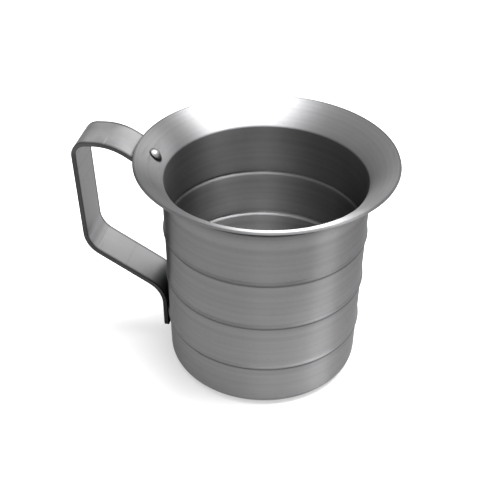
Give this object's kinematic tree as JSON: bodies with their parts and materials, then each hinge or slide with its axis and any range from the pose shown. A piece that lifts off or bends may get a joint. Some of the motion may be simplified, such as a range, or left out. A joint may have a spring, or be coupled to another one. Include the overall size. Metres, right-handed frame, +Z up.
{
  "type": "candle melting pot",
  "caption": "Straight-sided metal melting pot with a flared mouth, beaded wall and a riveted flat strap handle.",
  "frame": {"origin": "centre of the flat underside, on the pot's axis", "axes": "+Z up along the pot's axis, the handle points along -X, +Y completes a right-handed frame"},
  "size_m": [0.1715, 0.1388, 0.1304],
  "materials": {
    "spun_shell": "satin spun, faint rings round the axis, darker and duller inside",
    "strap": "satin strip, fine grain along its length",
    "rivets": "smooth domed head"
  },
  "bodies": {
    "root": {"pot_body": "spun_shell", "handle_strap": "strap", "flare_rivet": "rivets", "wall_rivet": "rivets"}
  },
  "joints": []
}
